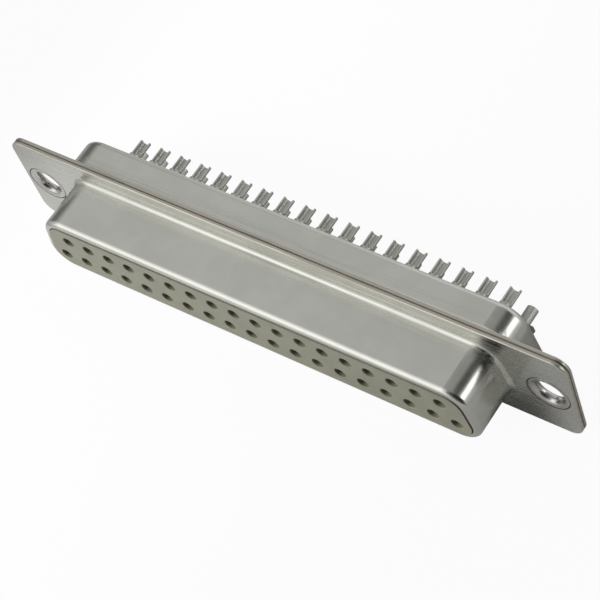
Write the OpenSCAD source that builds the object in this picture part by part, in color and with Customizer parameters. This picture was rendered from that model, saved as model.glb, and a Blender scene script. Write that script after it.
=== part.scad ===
// Panel connector with two rows of socket contacts and solder cups, in a drawn metal shell.
// The mating side faces -Y, the solder cups point along +Y and the row with one contact more
// is the lower one. The origin is the middle of the flange's front face, where a panel sits.

/* [Contacts] */
// Contacts in the longer row
long_row_count = 19; // [5:1:25]
// Distance between neighbours in a row
contact_pitch = 2.76; // [2.6:0.01:3]
// Distance between the two rows
row_spacing = 2.84; // [2.6:0.01:3.2]
// Radius of the bore that takes a pin
pin_bore_r = 0.52; // [0.45:0.01:0.6]
// Outer radius of the sprung socket
socket_r = 0.84; // [0.75:0.01:0.95]
// Length of the sprung socket in front of its shoulder
socket_l = 6.2; // [5:0.1:7]
// Depth of the pin bore
pin_bore_l = 5.6; // [4.5:0.1:6]
// Width of the slots between the spring fingers
slot_w = 0.22; // [0.15:0.01:0.3]
// Length of the slots between the spring fingers
slot_l = 4; // [2:0.1:5]
// Radius of the shoulder that the insulators clamp
shoulder_r = 1.1; // [1:0.01:1.2]
// Length of the shoulder
shoulder_l = 0.8; // [0.5:0.1:1.2]
// Radius of the solder cup and its shank
shank_r = 0.655; // [0.6:0.005:0.75]
// Wall of the solder cup
cup_wall = 0.19; // [0.12:0.01:0.28]
// How far the solder cup is open along its side
cup_open_l = 1.85; // [1:0.05:2.5]
// How much deeper the solder bore goes than the open side
cup_blind_l = 0.7; // [0.2:0.05:1]
// How far the rim of the open side lies above the middle of the cup
cup_rim_h = 0.05; // [-0.1:0.01:0.2]
// Distance of the solder cup's tip behind the flange's front face
cup_tip_y = 8.4; // [7:0.05:12]

/* [Sheet] */
// Thickness of both shells' sheet
sheet = 0.45; // [0.35:0.01:0.55]
// Roll-over radius on the blanked edges of the flanges
blank_edge_r = 0.14; // [0.05:0.01:0.18]
// Radius of the bend between flange and drawn wall
draw_r = 0.5; // [0.3:0.05:0.55]

/* [Front shell] */
// Distance from the last contact of the longer row to the sharp corner of the D
end_margin = 3.06; // [2.8:0.01:3.4]
// Distance from either row to the D's long side
row_margin = 2.58; // [2.4:0.01:3]
// Corner radius of the D
front_corner_r = 2.8; // [2:0.05:3]
// How far the D stands in front of the flange
front_depth = 6; // [5:0.1:6.5]
// Radius of the rounded front edge
front_edge_r = 0.6; // [0.5:0.05:0.8]
// Reach of the front edge's lip in from the outer face
front_lip = 0.8; // [0.7:0.05:1]

/* [Rear shell] */
// How much further out the rear D's long sides stand than the front D's
rear_step_h = 1.55; // [1.2:0.01:2]
// How much further out the rear D's sharp corners stand than the front D's
rear_step_w = 1.5; // [1.2:0.01:2]
// Corner radius of the rear D
rear_corner_r = 3.1; // [2.8:0.05:4]
// Distance of the rear edge behind the flange's front face
rear_depth = 4.6; // [3.8:0.1:5.5]
// Radius of the rounded rear edge
rear_edge_r = 0.8; // [0.6:0.05:1]
// Reach of the rear edge's lip in from the outer face
rear_lip = 1.25; // [1.1:0.05:1.5]

/* [Flange] */
// Distance from the D's sharp corner to the mounting hole
hole_offset = 3.85; // [3.6:0.01:5]
// Distance from the mounting hole to the flange's end
end_offset = 2.91; // [2.8:0.01:4]
// Distance from the rear D's long sides to the flange's edges
flange_margin = 0.725; // [0.7:0.005:2]
// Corner radius of the flange
flange_corner_r = 1.6; // [0.8:0.1:2.5]

/* [Eyelets] */
// Radius of the screw's clearance bore
screw_bore_r = 1.525; // [1.4:0.005:1.6]
// Wall of the eyelet's tube
eyelet_wall = 0.3; // [0.2:0.01:0.35]
// Radius of the eyelet's flared front end and rolled head
eyelet_head_r = 2.36; // [2.2:0.01:2.5]
// Radius of the rounding from the flared front end into the bore
front_mouth_r = 0.55; // [0.3:0.05:0.6]
// Depth of the flared front end's seat in the front flange
flare_l = 0.4; // [0.3:0.01:0.42]
// Height of the rolled head behind the flange
eyelet_rear_h = 0.15; // [0.1:0.01:0.3]
// Radius of the rounding from the rolled head into the bore
rear_mouth_r = 0.4; // [0.2:0.05:0.5]
// Height of the eyelet's sharp outer edges
eyelet_edge = 0.06; // [0.03:0.01:0.08]

/* [Insulators] */
// How far the front face stands in front of the shell's front edge
face_proud = 0.1; // [0.02:0.01:0.3]
// Thickness of the front face in front of the sockets
face_wall = 0.95; // [0.6:0.05:1.2]
// Radius of the pin entries
entry_r = 0.68; // [0.6:0.01:0.75]
// Width of the lead-in around each pin entry
lead_in = 0.06; // [0.03:0.01:0.2]
// Length of the front insulator's collar behind the front shell
collar_l = 1.75; // [1.4:0.05:2.2]
// How far the rear insulator's land stands behind the rear edge
land_h = 0.3; // [0:0.05:0.6]
// How far the end keys stand behind the rear edge
key_h = 0.6; // [0.3:0.05:0.8]
// Width of the end keys
key_w = 0.75; // [0.5:0.05:1.5]
// Height of the end keys above the middle of the D
key_z = 1.2; // [0.8:0.05:1.5]

/* [Clearances] */
// Gap between an insulator and a shell
insulator_gap = 0.05; // [0.02:0.01:0.1]
// Radial gap around the socket in its cavity
socket_gap = 0.12; // [0.05:0.01:0.2]
// Radial gap around the contact's shoulder and shank
shank_gap = 0.05; // [0.02:0.01:0.1]
// Radial gap around the eyelet's tube
eyelet_gap = 0.02; // [0.01:0.01:0.05]

/* [Hidden] */
$fn = 64;
// Lean of the D's ends
side_lean = 10.247;
// Width over which two parts of one sheet overlap, and how far a cut reaches past an edge
overlap = 0.05;

// Rows of contacts
short_row_count = long_row_count - 1;
contact_count = long_row_count + short_row_count;
row_y = row_spacing / 2;

// Sharp half sizes of both D outlines
front_half_w = (long_row_count - 1) * contact_pitch / 2 + end_margin;
front_half_h = row_y + row_margin;
rear_half_w = front_half_w + rear_step_w;
rear_half_h = front_half_h + rear_step_h;

// Flange and mounting holes
hole_x = front_half_w + hole_offset;
flange_half_w = hole_x + end_offset;
flange_half_h = rear_half_h + flange_margin;
stack = 2 * sheet;
eyelet_tube_r = screw_bore_r + eyelet_wall;

// Places along the depth
face_y = -front_depth - face_proud;
cavity_y = face_y + face_wall;
parting_y = sheet + collar_l;
core_y = sheet + collar_l / 2;
shoulder_y = parting_y - shoulder_l;
socket_y = shoulder_y - socket_l;
cup_open_y = cup_tip_y - cup_open_l;
rear_seat_y = rear_depth - sheet;

// Outlines of the rear insulator's land and of its end keys, from the rear corner centres
land_r = rear_corner_r - rear_lip - insulator_gap;
key_r = rear_corner_r - rear_edge_r;
contact_chamfer = pin_bore_r / 4;

// Outlines: [x and y of the centre of the long side's right corner, lean of the end]
front_d = d_outline(front_half_w, front_half_h, front_corner_r);
rear_d = d_outline(rear_half_w, rear_half_h, rear_corner_r);
flange_box = [flange_half_w - flange_corner_r, flange_half_h - flange_corner_r, 0];

CONTACTS = [for (number = [1 : contact_count]) contact_name(number)];

// Everything is drawn in the plane of the D, with the depth as its third axis, and then
// turned so that the depth runs along +Y and the longer row lies below.
module in_place() {
    rotate([-90, 0, 0]) children();
}

function contact_name(number) = str("contact_", number < 10 ? "0" : "", number);

// Contacts 1 to the end of the longer row lie in it, and the rest lie in the other one
function in_long_row(number) = number <= long_row_count;
function contact_x(number) = in_long_row(number)
    ? (number - (long_row_count + 1) / 2) * contact_pitch
    : (number - long_row_count - (short_row_count + 1) / 2) * contact_pitch;
function contact_at(number) = [contact_x(number), in_long_row(number) ? row_y : -row_y];

function d_outline(half_w, half_h, r) =
    [half_w - r * tan(side_lean) - r / cos(side_lean), half_h - r, side_lean];

// Carries a section round an outline: its x is the distance from the corner centres and its
// y is the depth. A second section, if given, is carried along the straight sides, and then the
// first one is turned all the way round at the corners.
// Both halves cross the middle a little, so that they overlap instead of touching.
module carried_round(outline) {
    lean = outline[2];
    end_l = 2 * outline[1] / cos(lean);
    full_turn = $children > 1;
    for (half = [0, 1]) mirror([half, 0, 0]) translate([outline[0], outline[1]]) {
        rotate([90, 0, 90]) mirror([0, 0, 1]) linear_extrude(outline[0] + sheet) children($children - 1);
        rotate(-lean) {
            rotate_extrude(angle = full_turn ? 360 : 90 + lean) children(0);
            rotate([90, 0, 0]) linear_extrude(end_l) children($children - 1);
            translate([0, -end_l]) rotate(lean - 90) {
                rotate_extrude(angle = full_turn ? 360 : 90 - lean) children(0);
                rotate([90, 0, 0]) linear_extrude(outline[0] - end_l * sin(lean) + sheet)
                    children($children - 1);
            }
        }
    }
}

// Solid block inside an outline. Its steps are [distance from the corner centres, from, to],
// and the narrower ones run on through the wider ones.
module block(outline, steps) {
    carried_round(outline) {
        steps_section(steps, 0);
        steps_section(steps, outline[1] + sheet);
    }
}

module steps_section(steps, inward) {
    for (step = steps)
        translate([-inward, step[1]]) square([step[0] + inward, step[2] - step[1]]);
}

// What a rounding of radius r takes off a square corner at the origin, whose sides run
// towards x_side and y_side. It reaches past both sides.
module rounding(r, x_side, y_side) {
    difference() {
        translate([x_side > 0 ? -overlap : -r, y_side > 0 ? -overlap : -r]) square(r + overlap);
        translate([x_side * r, y_side * r]) circle(r);
    }
}

// Section of a wall drawn out of the flange towards -y: flange's rim, bend, wall, rounded edge
// and lip, with the lip's blanked edge rolled over
module drawn_section(corner_r, depth, edge_r, lip) {
    wall_x = corner_r - sheet;
    rim_x = corner_r + draw_r;
    difference() {
        union() {
            translate([corner_r - lip, -depth]) square([lip, depth + sheet]);
            translate([wall_x, -draw_r]) square([sheet + draw_r + 2 * overlap, draw_r + sheet]);
        }
        translate([rim_x, -draw_r]) circle(draw_r);
        translate([rim_x, -draw_r - overlap]) square([3 * overlap, draw_r + overlap]);
        translate([wall_x, sheet]) rounding(draw_r + sheet, 1, -1);
        translate([corner_r, -depth]) rounding(edge_r, -1, 1);
        translate([corner_r - lip, -depth]) rounding(blank_edge_r, 1, 1);
        difference() {
            translate([corner_r - lip - overlap, sheet - depth])
                square([lip - sheet + overlap, depth + overlap]);
            translate([wall_x, sheet - depth]) rounding(edge_r - sheet, -1, 1);
        }
    }
}

// Section of the flange's border, with the blanked edge rolled over on both faces
module border_section(inward) {
    difference() {
        translate([-inward, 0]) square([flange_corner_r + inward, sheet]);
        translate([flange_corner_r, 0]) rounding(blank_edge_r, -1, 1);
        translate([flange_corner_r, sheet]) rounding(blank_edge_r, -1, -1);
    }
}

// Flange sheet from depth 0 to the sheet's thickness, with an opening that ends in the middle of
// the drawn section's rim. The opening's corners are a little tighter than the D's, so that no
// edge of the one lies on an edge of the other. Its children are cut out at both mounting holes.
module flange(half_w, half_h, corner_r) {
    difference() {
        carried_round(flange_box) {
            border_section(0);
            border_section(flange_half_h);
        }
        block(d_outline(half_w, half_h, corner_r - overlap), [[corner_r + draw_r, -sheet, stack]]);
        for (side = [-1, 1]) translate([side * hole_x, 0, 0]) children();
    }
}

// Countersunk hole for the eyelet's flared front end
module flare_seat() {
    rotate_extrude() polygon([
        [0, -sheet], [eyelet_head_r + eyelet_gap, -sheet], [eyelet_head_r + eyelet_gap, eyelet_edge],
        [eyelet_tube_r + eyelet_gap, flare_l], [eyelet_tube_r + eyelet_gap, stack], [0, stack]
    ]);
}

module front_shell() {
    color([0.72, 0.72, 0.70]) in_place() {
        flange(front_half_w, front_half_h, front_corner_r) flare_seat();
        carried_round(front_d)
            drawn_section(front_corner_r, front_depth, front_edge_r, front_lip);
    }
}

// Both end keys, grown by the gap: what the rear D's ends hold in a band of the key's width
module end_keys(gap, from, to) {
    intersection() {
        block(rear_d, [[key_r + gap, from, to]]);
        for (side = [-1, 1]) translate([side * rear_half_w, -key_z, (from + to) / 2])
            cube([rear_half_w - hole_x / 2, key_w + 2 * gap, 2 * (to - from)], center = true);
    }
}

module rear_shell() {
    color([0.70, 0.70, 0.68]) in_place() difference() {
        union() {
            translate([0, 0, sheet]) flange(rear_half_w, rear_half_h, rear_corner_r)
                translate([0, 0, -sheet]) cylinder(h = 3 * sheet, r = eyelet_tube_r + eyelet_gap);
            translate([0, 0, stack]) mirror([0, 0, 1]) carried_round(rear_d)
                drawn_section(rear_corner_r, rear_depth - stack, rear_edge_r, rear_lip);
        }
        end_keys(insulator_gap, rear_seat_y - sheet, rear_depth + sheet);
    }
}

// Place of each contact, with the contact's own axis as the third axis
module at_contacts() {
    for (number = [1 : contact_count]) translate(contact_at(number)) children();
}

// Pin entry with its lead-in, socket cavity and shoulder seat
module front_cavity() {
    rotate_extrude() polygon([
        [0, face_y - lead_in], [entry_r + 2 * lead_in, face_y - lead_in], [entry_r, face_y + lead_in],
        [entry_r, cavity_y], [socket_r + socket_gap, cavity_y],
        [socket_r + socket_gap, shoulder_y], [shoulder_r + shank_gap, shoulder_y],
        [shoulder_r + shank_gap, parting_y + sheet], [0, parting_y + sheet]
    ]);
}

module front_insulator() {
    color([0.60, 0.61, 0.54]) in_place() difference() {
        union() {
            block(front_d, [
                [front_corner_r - front_lip - insulator_gap, face_y, core_y],
                [front_corner_r - front_edge_r, sheet - front_depth, core_y],
                [front_corner_r - sheet - insulator_gap, front_edge_r - front_depth, core_y]
            ]);
            block(rear_d, [[rear_corner_r - sheet - insulator_gap, sheet, parting_y]]);
        }
        at_contacts() front_cavity();
    }
}

module rear_insulator() {
    color([0.58, 0.59, 0.52]) in_place() difference() {
        union() {
            block(rear_d, [
                [rear_corner_r - sheet - insulator_gap, parting_y, rear_depth - rear_edge_r],
                [key_r, parting_y, rear_seat_y],
                [land_r, parting_y, rear_depth + land_h]
            ]);
            end_keys(0, parting_y, rear_depth + key_h);
        }
        at_contacts() translate([0, 0, parting_y - sheet])
            cylinder(h = rear_depth + land_h - parting_y + 2 * sheet, r = shank_r + shank_gap);
    }
}

// Eyelet with a flared front end that seats flush in the front flange, and a rolled head behind
module eyelet(x) {
    rear_y = stack + eyelet_rear_h;
    color([0.74, 0.73, 0.69]) in_place() translate([x, 0, 0]) rotate_extrude() difference() {
        polygon([
            [screw_bore_r, 0], [eyelet_head_r - eyelet_edge, 0], [eyelet_head_r, eyelet_edge],
            [eyelet_tube_r, flare_l], [eyelet_tube_r, stack], [eyelet_head_r, stack],
            [eyelet_head_r, rear_y - eyelet_edge], [eyelet_head_r - eyelet_edge, rear_y], [screw_bore_r, rear_y]
        ]);
        translate([screw_bore_r, 0]) rounding(front_mouth_r, 1, 1);
        translate([screw_bore_r, rear_y]) rounding(rear_mouth_r, 1, -1);
    }
}

module eyelet_left() {
    eyelet(-hole_x);
}

module eyelet_right() {
    eyelet(hole_x);
}

// Machined socket contact along the depth: slotted spring fingers, shoulder, shank and a
// solder cup that is open towards -y
module contact_blank() {
    difference() {
        rotate_extrude() polygon([
            [0, socket_y], [socket_r - contact_chamfer, socket_y], [socket_r, socket_y + contact_chamfer],
            [socket_r, shoulder_y], [shoulder_r, shoulder_y], [shoulder_r, parting_y],
            [shank_r, parting_y], [shank_r, cup_tip_y], [0, cup_tip_y]
        ]);
        translate([0, 0, socket_y - sheet]) cylinder(h = pin_bore_l + sheet, r = pin_bore_r);
        for (turn = [0, 90]) rotate(turn)
            translate([-socket_r - sheet, -slot_w / 2, socket_y - sheet])
                cube([2 * (socket_r + sheet), slot_w, slot_l + sheet]);
        translate([0, 0, cup_open_y - cup_blind_l])
            cylinder(h = cup_open_l + cup_blind_l + sheet, r = shank_r - cup_wall);
        // The open side starts with a slope
        rotate([0, 90, 0]) translate([0, 0, -shank_r - sheet]) linear_extrude(2 * (shank_r + sheet))
            polygon([
                [-cup_tip_y - sheet, -cup_rim_h], [-cup_open_y, -cup_rim_h],
                [-cup_open_y + shank_r, -cup_rim_h - 2 * shank_r], [-cup_tip_y - sheet, -cup_rim_h - 2 * shank_r]
            ]);
    }
}

module contact(number) {
    open_turn = in_long_row(number) ? 180 : 0;
    color([0.66, 0.66, 0.62]) in_place() translate(contact_at(number)) rotate(open_turn) contact_blank();
}

front_shell();
rear_shell();
front_insulator();
rear_insulator();
eyelet_left();
eyelet_right();
for (number = [1 : contact_count])
    contact(number);
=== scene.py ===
"""Looks of the two-row socket connector: tin-plated shells, eyelets and contacts, glass-filled insulators."""

import math

import bpy
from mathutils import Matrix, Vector


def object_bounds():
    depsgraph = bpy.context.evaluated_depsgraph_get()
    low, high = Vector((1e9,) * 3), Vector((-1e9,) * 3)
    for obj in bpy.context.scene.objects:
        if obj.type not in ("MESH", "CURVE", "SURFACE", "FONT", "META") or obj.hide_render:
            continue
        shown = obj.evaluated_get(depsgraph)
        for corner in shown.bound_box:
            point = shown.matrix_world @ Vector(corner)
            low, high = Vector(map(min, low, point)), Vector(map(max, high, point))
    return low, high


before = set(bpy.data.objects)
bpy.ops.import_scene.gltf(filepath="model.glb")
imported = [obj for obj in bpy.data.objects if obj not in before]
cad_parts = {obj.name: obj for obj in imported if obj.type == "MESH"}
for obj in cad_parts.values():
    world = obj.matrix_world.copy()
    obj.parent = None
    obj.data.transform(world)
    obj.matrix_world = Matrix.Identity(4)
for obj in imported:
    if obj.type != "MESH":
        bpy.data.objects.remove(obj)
cad_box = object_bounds()

MM = 0.001

# Camera: where it stands, how it is turned, its lens and its sensor's width
CAMERA_AT = Vector((111.927, -80.990, 176.920)) * MM
CAMERA_TURN = (34.7970, 14.4772, 33.9163)
CAMERA_LENS = 132.193
CAMERA_SENSOR = 36
CAMERA_CLIP = 10 * MM

# Surroundings: the level of the sky, and round soft boxes and dark flags in it, from back to front.
# A card is (direction, half angle in degrees, half width of its soft edge in degrees, level).
SKY_LEVEL = 0.22
CARDS = [
    # Behind the part, and low on the left
    ((0.10, 1.00, 0.30), 42, 14, 0.85),
    ((-1.00, -0.30, 0.25), 22, 10, 0.60),
    # What the top faces, the front edge and the bends show
    ((-0.49, 0.36, 0.79), 17, 8, 0.64),
    ((-0.49, -0.05, 0.87), 20, 12, 0.70),
    ((-0.49, -0.87, 0.05), 24, 14, 1.20),
    ((-0.49, -0.36, 0.79), 17, 10, 1.15),
    ((-0.49, -0.66, 0.54), 15, 10, 1.65),
    # Dark line on the left corners
    ((-0.93, 0.33, 0.15), 18, 8, 0.18),
    # Grey, dark and bright bands on the right corners
    ((0.93, 0.36, 0.05), 22, 8, 0.60),
    ((0.10, 0.37, 0.92), 26, 7, 0.37),
    ((0.45, 0.37, 0.81), 11, 9, 0.09),
    ((0.81, 0.37, 0.45), 8, 5, 3.00),
    # The dark side that the camera stands on
    ((0.66, -0.37, 0.66), 32, 12, 0.02),
]

# Key lamp: where it stands, its size and its power in watts
KEY_AT = (-0.39, -0.54, 0.43)
KEY_SIZE = 0.22
KEY_POWER = 5.0

# Floor of paper, with painted shade: its tone falls off to the left and to the right, as (from x, to x, tone,
# tone).
# Metal also shows it as white, as a painted glow that grows toward the front, as (from y, to y, share,
# share).
FLOOR_GAP = 0.02 * MM
FLOOR_SIZE = 2.0
FLOOR_SHADE_LEFT = (-50 * MM, -32 * MM, 0.45, 0.85)
FLOOR_SHADE_RIGHT = (-25 * MM, 33 * MM, 1.0, 0.55)
FLOOR_GLOW_FRONT = (-30 * MM, -100 * MM, 0.03, 0.6)
WHITE_SEEN = 0.95

# Sizes that the wear and the painted shade follow: corner radius of the flange, sheet of either shell, place
# of the eyelets, and radius and half width of the painted shade in the crease round an eyelet's flared end
FLANGE_CORNER = 1.6 * MM
SHEET = 0.45 * MM
eyelet_corners = [Vector(corner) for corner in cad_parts["eyelet_right"].bound_box]
HOLE_X = (min(corner.x for corner in eyelet_corners) + max(corner.x for corner in eyelet_corners)) / 2
CREASE_R = 2.37 * MM
CREASE_W = 0.09 * MM

# Plating: scales of its noises, per metre, and relief as (strength, depth)
CLOUD = 260
CLOUD_RANGE = (0.35, 0.68)
FINE = 1500
FINE_SHARE = 0.3
ROUGH_RANGE = (0.35, 0.65)
DRAW_MARKS = 900
DRAW_RELIEF = (0.10, 0.02 * MM)
GRAIN = 5200
GRAIN_RELIEF = (0.12, 0.006 * MM)
DENTS = 120
DENTS_RELIEF = (0.10, 0.12 * MM)

# Sheared edge: where it starts and is full inside the flange's outline, and how much rougher it is
SHEARED_FROM = 0.10 * MM
SHEARED_FULL = 0.03 * MM
SHEARED_ROUGHER = 0.12
# Painted shade in the seam between the sheets: half width with and without its soft edge
SEAM_W = 0.16 * MM
SEAM_CORE = 0.03 * MM
# Die scuffs: where they start to fade and end, away from the seam, and how long, rough and deep they are
SCUFFS_FROM = 0.8 * MM
SCUFFS_TO = 2.4 * MM
SCUFFS = 3200
SCUFFS_STRETCH = (0.02, 1, 1)
SCUFFS_RANGE = (0.42, 0.72)
SCUFFS_ROUGHER = 0.28
SCUFFS_STRENGTH = 0.2
SCUFFS_DEPTH = 0.012 * MM

# Plastic: mottles and moulded grain
MOTTLES = 420
MOTTLES_RANGE = (0.3, 0.7)
MOULD_GRAIN = 4200
MOULD_RELIEF = (0.25, 0.01 * MM)

# Colours, as the light and the dark of each material's clouds, roughness from and to, and draw marks,
# which run along the axes with a small number
SHELL_TIN = (0.62, 0.62, 0.575, 1.0), (0.57, 0.57, 0.525, 1.0)
SHELL_ROUGH = (0.17, 0.25)
SHELL_MARKS = (1, 0.08, 0.08)
EYELET_TIN = (0.62, 0.60, 0.57, 1.0), (0.50, 0.49, 0.46, 1.0)
EYELET_ROUGH = (0.20, 0.30)
EYELET_MARKS = (0.2, 0.2, 1)
CONTACT_TIN = (0.66, 0.66, 0.62, 1.0), (0.58, 0.58, 0.54, 1.0)
CONTACT_ROUGH = (0.42, 0.54)
CONTACT_MARKS = (1, 0.1, 1)
RESIN = (0.215, 0.212, 0.155, 1.0), (0.18, 0.178, 0.13, 1.0)
RESIN_ROUGH = (0.28, 0.4)
SHEARED_STEEL = (0.56, 0.53, 0.46, 1.0)
# Painted shade, for the seam between the sheets and the crease round each eyelet
PAINTED_SHADE = (0.10, 0.09, 0.08, 1.0)


def new_material(name):
    material = bpy.data.materials.new(name)
    material.use_nodes = True
    material.node_tree.nodes.clear()
    return material


class Nodes:
    """Short calls for building a node tree."""

    def __init__(self, tree):
        self.tree = tree

    def add(self, kind, **settings):
        node = self.tree.nodes.new(kind)
        for name, value in settings.items():
            setattr(node, name, value)
        return node

    def join(self, source, target):
        self.tree.links.new(source, target)

    def feed(self, socket, value):
        """Links a socket, or sets it to a constant."""
        if isinstance(value, bpy.types.NodeSocket):
            self.join(value, socket)
        else:
            socket.default_value = value

    def place(self):
        return self.add("ShaderNodeTexCoord").outputs["Object"]

    def split(self, vector):
        node = self.add("ShaderNodeSeparateXYZ")
        self.join(vector, node.inputs[0])
        return node.outputs

    def math(self, operation, *values):
        node = self.add("ShaderNodeMath", operation=operation)
        for socket, value in zip(node.inputs, values):
            self.feed(socket, value)
        return node.outputs[0]

    def off(self, value, middle):
        """How far a value is from a middle one, to either side."""
        return self.math("ABSOLUTE", self.math("SUBTRACT", value, middle))

    def length(self, across, up):
        squares = [self.math("POWER", value, 2.0) for value in (across, up)]
        return self.math("SQRT", self.math("ADD", *squares))

    def map_range(self, value, low, high, to_low=0.0, to_high=1.0, kind="SMOOTHSTEP"):
        node = self.add("ShaderNodeMapRange", interpolation_type=kind)
        for name, given in (
            ("Value", value), ("From Min", low), ("From Max", high), ("To Min", to_low), ("To Max", to_high),
        ):
            self.feed(node.inputs[name], given)
        return node.outputs["Result"]

    def mix(self, factor, first, second):
        node = self.add("ShaderNodeMix", data_type="RGBA")
        self.feed(node.inputs["Factor"], factor)
        self.feed(node.inputs["A"], first)
        self.feed(node.inputs["B"], second)
        return node.outputs["Result"]

    def noise(self, place, scale, detail=2.0, stretch=(1, 1, 1)):
        mapping = self.add("ShaderNodeMapping")
        self.join(place, mapping.inputs["Vector"])
        mapping.inputs["Scale"].default_value = stretch
        node = self.add("ShaderNodeTexNoise")
        self.join(mapping.outputs["Vector"], node.inputs["Vector"])
        node.inputs["Scale"].default_value = scale
        node.inputs["Detail"].default_value = detail
        return node.outputs["Fac"]

    def bump(self, height, strength, distance, normal=None):
        node = self.add("ShaderNodeBump")
        self.join(height, node.inputs["Height"])
        self.feed(node.inputs["Strength"], strength)
        node.inputs["Distance"].default_value = distance
        if normal is not None:
            self.join(normal, node.inputs["Normal"])
        return node.outputs["Normal"]

    def finish(self, shader, colour, rough, normal):
        self.join(colour, shader.inputs["Base Color"])
        self.join(rough, shader.inputs["Roughness"])
        self.join(normal, shader.inputs["Normal"])
        self.surface(shader.outputs[0])

    def surface(self, output):
        self.join(output, self.add("ShaderNodeOutputMaterial").inputs["Surface"])


def grey(level):
    return (level, level, level, 1.0)


def plated_metal(name, tin, rough_limits, draw_stretch, wear_and_shade=None):
    """Tin plating: fine drawing marks, grain, flat dents, cloudy roughness, and the wear and painted shade
    that the last argument adds.
    """
    material = new_material(name)
    n = Nodes(material.node_tree)
    place = n.place()
    light, dark = tin
    shader = n.add("ShaderNodeBsdfPrincipled")
    shader.inputs["Metallic"].default_value = 1.0
    cloud = n.noise(place, CLOUD, detail=4)
    colour = n.mix(n.map_range(cloud, *CLOUD_RANGE), dark, light)
    fine = n.noise(place, FINE)
    blend = n.math("ADD", n.math("MULTIPLY", cloud, 1 - FINE_SHARE), n.math("MULTIPLY", fine, FINE_SHARE))
    rough = n.map_range(blend, *ROUGH_RANGE, *rough_limits, "LINEAR")
    normal = n.bump(n.noise(place, DRAW_MARKS, detail=3, stretch=draw_stretch), *DRAW_RELIEF)
    normal = n.bump(n.noise(place, GRAIN), *GRAIN_RELIEF, normal)
    normal = n.bump(n.noise(place, DENTS, detail=1), *DENTS_RELIEF, normal)
    if wear_and_shade:
        colour, rough, normal = wear_and_shade(n, place, colour, rough, normal)
    n.finish(shader, colour, rough, normal)
    return material


def eyelet_crease(n, along, height):
    """1 in the crease where either eyelet's flared end meets the flange, where shade is painted."""
    across = n.math("SUBTRACT", n.math("ABSOLUTE", along), HOLE_X)
    return n.map_range(n.off(n.length(across, height), CREASE_R), CREASE_W, CREASE_W / 3)


def eyelet_shade(n, place, colour, rough, normal):
    """Painted shade in the crease round the eyelet's flared end."""
    along, _, height = n.split(place)
    return n.mix(eyelet_crease(n, along, height), colour, PAINTED_SHADE), rough, normal


def sheared_edge(n, along, height):
    """1 on the flange's edge: the distance from the middles of its rounded corners says where."""
    reach = [n.math("MAXIMUM", n.math("SUBTRACT", n.math("ABSOLUTE", value), half - FLANGE_CORNER), 0.0)
             for value, half in ((along, cad_box[1][0]), (height, cad_box[1][2]))]
    return n.map_range(n.length(*reach), FLANGE_CORNER - SHEARED_FROM, FLANGE_CORNER - SHEARED_FULL)


def stamping_wear_and_shade(n, place, colour, rough, normal):
    """Sheared bare edges, painted shade in the seam between the sheets and in the creases round the eyelets,
    and the die's scuffs where the walls bend.
    """
    along, depth, height = n.split(place)
    away = n.off(depth, SHEET)
    sheared = sheared_edge(n, along, height)
    colour = n.mix(sheared, colour, SHEARED_STEEL)
    rough = n.math("ADD", rough, n.math("MULTIPLY", sheared, SHEARED_ROUGHER))
    # Painted shade in the seam between the sheets, on the sheared edge
    seam = n.map_range(away, SEAM_W, SEAM_CORE)
    colour = n.mix(n.math("MULTIPLY", seam, sheared), colour, PAINTED_SHADE)
    # Painted shade in the crease round each eyelet's flared end
    colour = n.mix(eyelet_crease(n, along, height), colour, PAINTED_SHADE)
    near_bend = n.math("SUBTRACT", 1.0, n.map_range(away, SCUFFS_FROM, SCUFFS_TO))
    scuffs = n.map_range(n.noise(place, SCUFFS, detail=4, stretch=SCUFFS_STRETCH), *SCUFFS_RANGE)
    rough = n.math("ADD", rough, n.math("MULTIPLY", near_bend, n.math("MULTIPLY", scuffs, SCUFFS_ROUGHER)))
    strength = n.math("MULTIPLY", near_bend, SCUFFS_STRENGTH)
    return colour, rough, n.bump(scuffs, strength, SCUFFS_DEPTH, normal)


def moulded_plastic(name, resin):
    """Glass-filled plastic: matte, faintly mottled, with a fine moulded grain."""
    material = new_material(name)
    n = Nodes(material.node_tree)
    place = n.place()
    light, dark = resin
    shader = n.add("ShaderNodeBsdfPrincipled")
    mottles = n.noise(place, MOTTLES, detail=4)
    colour = n.mix(n.map_range(mottles, *MOTTLES_RANGE), dark, light)
    rough = n.map_range(mottles, *MOTTLES_RANGE, *RESIN_ROUGH, "LINEAR")
    n.finish(shader, colour, rough, n.bump(n.noise(place, MOULD_GRAIN), *MOULD_RELIEF))
    return material


def dress(names, material):
    for name in names:
        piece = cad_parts[name]
        piece.data.materials.clear()
        piece.data.materials.append(material)


def card_mask(n, direction, half_angle, softness):
    """1 inside a round card in the sky, 0 outside it."""
    towards = n.add("ShaderNodeVectorMath", operation="DOT_PRODUCT")
    n.join(n.add("ShaderNodeTexCoord").outputs["Generated"], towards.inputs[0])
    towards.inputs[1].default_value = Vector(direction).normalized()
    outer = math.cos(math.radians(half_angle + softness))
    inner = math.cos(math.radians(half_angle - softness))
    return n.map_range(towards.outputs["Value"], outer, inner)


def make_world():
    """Sky with its cards for the part, and plain white for the camera."""
    world = bpy.data.worlds.new("studio")
    bpy.context.scene.world = world
    world.use_nodes = True
    n = Nodes(world.node_tree)
    world.node_tree.nodes.clear()
    colour = grey(SKY_LEVEL)
    for direction, half_angle, softness, level in CARDS:
        colour = n.mix(card_mask(n, direction, half_angle, softness), colour, grey(level))
    seen = n.mix(n.add("ShaderNodeLightPath").outputs["Is Camera Ray"], colour, grey(1.0))
    background = n.add("ShaderNodeBackground")
    n.join(seen, background.inputs["Color"])
    n.join(background.outputs[0], n.add("ShaderNodeOutputWorld").inputs["Surface"])


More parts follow.
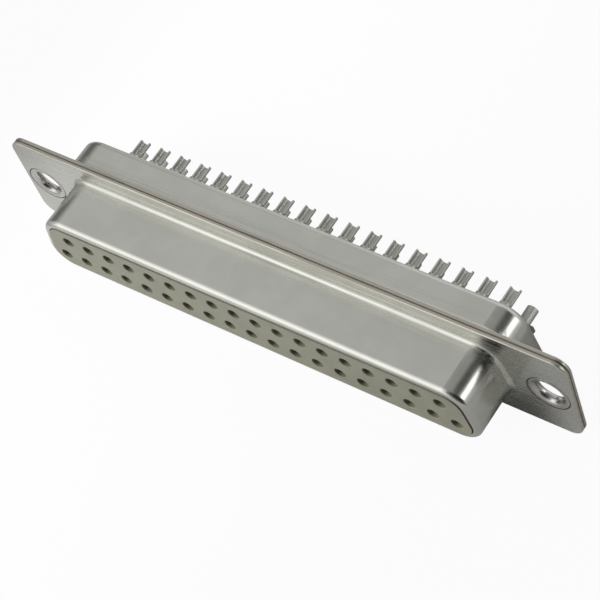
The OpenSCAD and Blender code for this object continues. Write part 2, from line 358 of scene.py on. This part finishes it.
def make_floor(z):
    """Paper under the part, with painted shade to the left and right, which the camera and, in part, the
    metal's reflections see as white, as a painted glow that grows toward the front.
    """
    bpy.ops.mesh.primitive_plane_add(size=FLOOR_SIZE, location=(0, 0, z))
    floor = bpy.context.object
    floor.name = "floor"
    material = new_material("floor_paper")
    n = Nodes(material.node_tree)
    along, depth, _ = n.split(n.place())
    paper = n.add("ShaderNodeBsdfDiffuse")
    # Painted shade: the paper darkens to the left and to the right
    floor_shade = n.math("MULTIPLY", n.map_range(along, *FLOOR_SHADE_LEFT), n.map_range(along, *FLOOR_SHADE_RIGHT))
    n.join(floor_shade, paper.inputs["Color"])
    white = n.add("ShaderNodeEmission")
    path = n.add("ShaderNodeLightPath")
    through = n.math("MAXIMUM", path.outputs["Is Glossy Ray"], path.outputs["Is Transmission Ray"])
    # The white that glossy rays see grows toward the front: a painted glow
    share = n.math("MAXIMUM", n.math("MULTIPLY", path.outputs["Is Camera Ray"], WHITE_SEEN),
                   n.math("MULTIPLY", through, n.map_range(depth, *FLOOR_GLOW_FRONT)))
    mixed = n.add("ShaderNodeMixShader")
    n.join(share, mixed.inputs[0])
    n.join(paper.outputs[0], mixed.inputs[1])
    n.join(white.outputs[0], mixed.inputs[2])
    n.surface(mixed.outputs[0])
    floor.data.materials.append(material)


def make_lamp(name, at, size, power):
    """Square lamp that points at the middle of the part. Metal reflects the world's cards instead."""
    light = bpy.data.lights.new(name, "AREA")
    light.size = size
    light.energy = power
    lamp = bpy.data.objects.new(name, light)
    bpy.context.scene.collection.objects.link(lamp)
    lamp.location = at
    lamp.visible_glossy = False
    lamp.rotation_euler = (-Vector(at)).to_track_quat("-Z", "Y").to_euler()


def make_camera():
    camera = bpy.data.objects.new("camera", bpy.data.cameras.new("camera"))
    bpy.context.scene.collection.objects.link(camera)
    camera.location = CAMERA_AT
    camera.rotation_euler = [math.radians(angle) for angle in CAMERA_TURN]
    camera.data.lens = CAMERA_LENS
    camera.data.sensor_width = CAMERA_SENSOR
    camera.data.clip_start = CAMERA_CLIP
    bpy.context.scene.camera = camera


bpy.context.scene.view_settings.view_transform = "Standard"

contact_names = [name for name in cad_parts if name.startswith("contact_")]
dress(["front_shell", "rear_shell"],
      plated_metal("shell_tin", SHELL_TIN, SHELL_ROUGH, SHELL_MARKS, stamping_wear_and_shade))
dress(["eyelet_left", "eyelet_right"],
      plated_metal("eyelet_tin", EYELET_TIN, EYELET_ROUGH, EYELET_MARKS, eyelet_shade))
dress(contact_names, plated_metal("contact_tin", CONTACT_TIN, CONTACT_ROUGH, CONTACT_MARKS))
dress(["front_insulator", "rear_insulator"], moulded_plastic("insulator_resin", RESIN))

make_world()
make_floor(cad_box[0][2] - FLOOR_GAP)
make_lamp("key", KEY_AT, KEY_SIZE, KEY_POWER)
make_camera()
